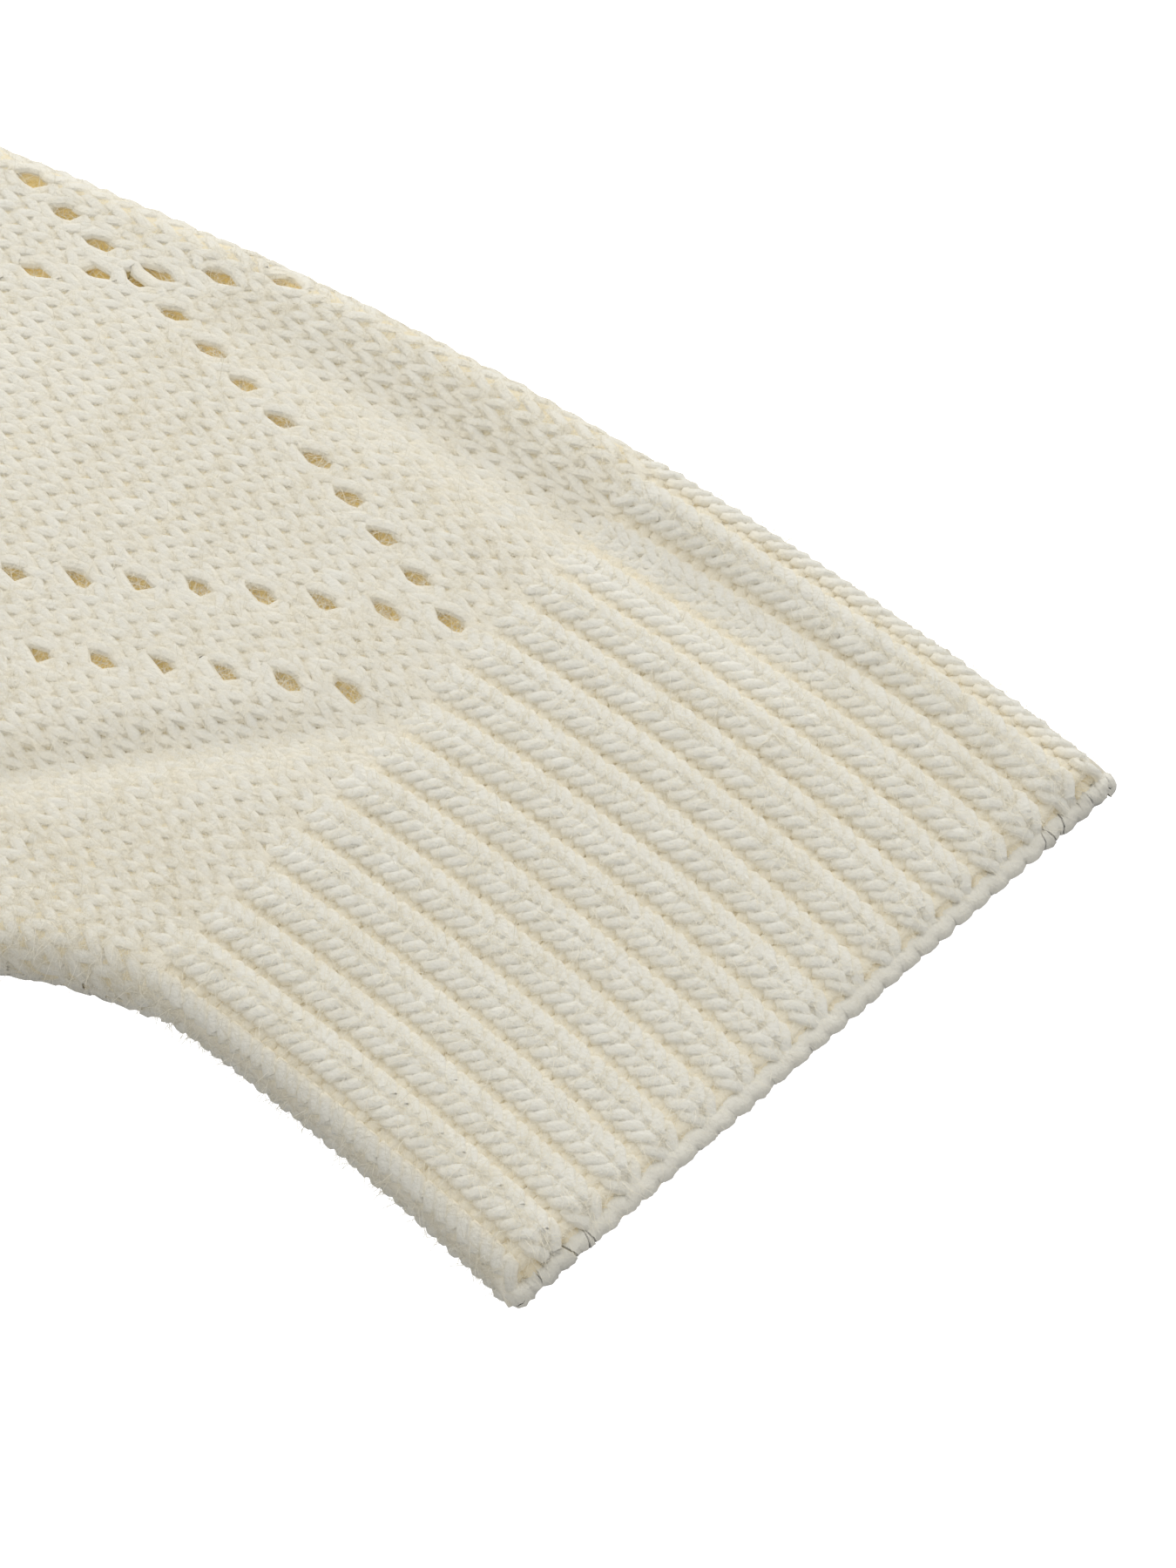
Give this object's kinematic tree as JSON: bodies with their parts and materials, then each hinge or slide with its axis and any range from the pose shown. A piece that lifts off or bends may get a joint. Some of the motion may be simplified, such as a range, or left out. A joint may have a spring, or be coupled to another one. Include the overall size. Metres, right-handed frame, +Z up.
{
  "type": "fingerless glove",
  "caption": "Knitted fingerless glove with a ribbed cuff, an openwork hand section, a short open thumb and a ribbed finger end, lying flat.",
  "frame": {"origin": "middle of the glove's outline, on the flat face of the palm that it lies on", "axes": "+X towards the wrist cuff, so the fingers point along -X; +Y towards the little-finger side, so the thumb is on -Y; +Z up, out of the back of the hand"},
  "size_m": [0.2086, 0.118, 0.0092],
  "materials": {
    "yarn": "matte, soft, slightly fuzzy ivory acrylic and wool yarn, knitted",
    "edge_yarn": "matte ivory yarn, the cast-on and bound-off edges",
    "seam_yarn": "matte ivory yarn, sewn or woven in along the side"
  },
  "bodies": {
    "hand": {"cuff_edge": "edge_yarn", "cuff_rib": "yarn", "back_panel": "yarn", "palm_panel": "yarn", "finger_rib": "yarn", "finger_edge": "edge_yarn", "thumb_root": "yarn", "wrist_seam": "seam_yarn", "hand_seam": "seam_yarn", "cuff_yarn_end": "yarn", "finger_yarn_end": "yarn"},
    "thumb": {"thumb_tube": "yarn", "thumb_rib": "yarn", "thumb_edge": "edge_yarn", "thumb_seam": "seam_yarn"}
  },
  "joints": [
    {"name": "thumb_swing", "type": "hinge", "parent": "hand", "child": "thumb", "pos_m": [-0.00549, -0.02688, 0.0046], "axis": [0, 0, 1], "range_deg": [-6, 20]}
  ]
}
